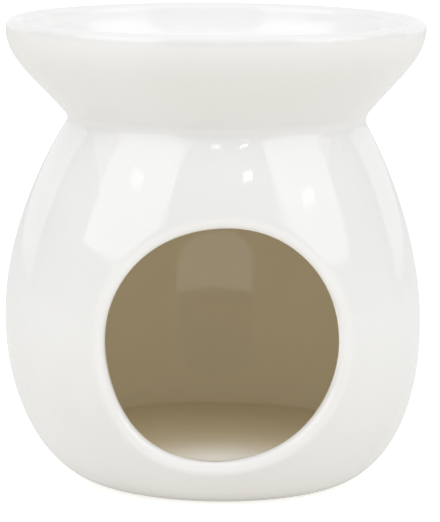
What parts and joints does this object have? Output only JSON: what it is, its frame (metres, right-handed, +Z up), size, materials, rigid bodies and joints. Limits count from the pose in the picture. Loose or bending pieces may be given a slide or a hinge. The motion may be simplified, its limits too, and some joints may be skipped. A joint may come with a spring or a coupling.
{
  "type": "oil burner",
  "caption": "White glazed ceramic oil burner: a pot-bellied tealight chamber with a round front window, a drawn-in neck and a flared oil bowl luted on top.",
  "frame": {"origin": "centre of the base, on the plane that the foot ring stands on", "axes": "+Z up along the axis of the pot, -Y out through the tealight window, +X to the right of someone who faces the window"},
  "size_m": [0.0852, 0.0851, 0.0943],
  "materials": {
    "body_glaze": "glossy white glaze, bare at the foot ring",
    "bowl_glaze": "glossy white glaze",
    "seam_glaze": "glossy white glaze pooled in the crease"
  },
  "bodies": {
    "root": {"chamber_body": "body_glaze", "oil_bowl": "bowl_glaze", "luting_seam": "seam_glaze"}
  },
  "joints": []
}
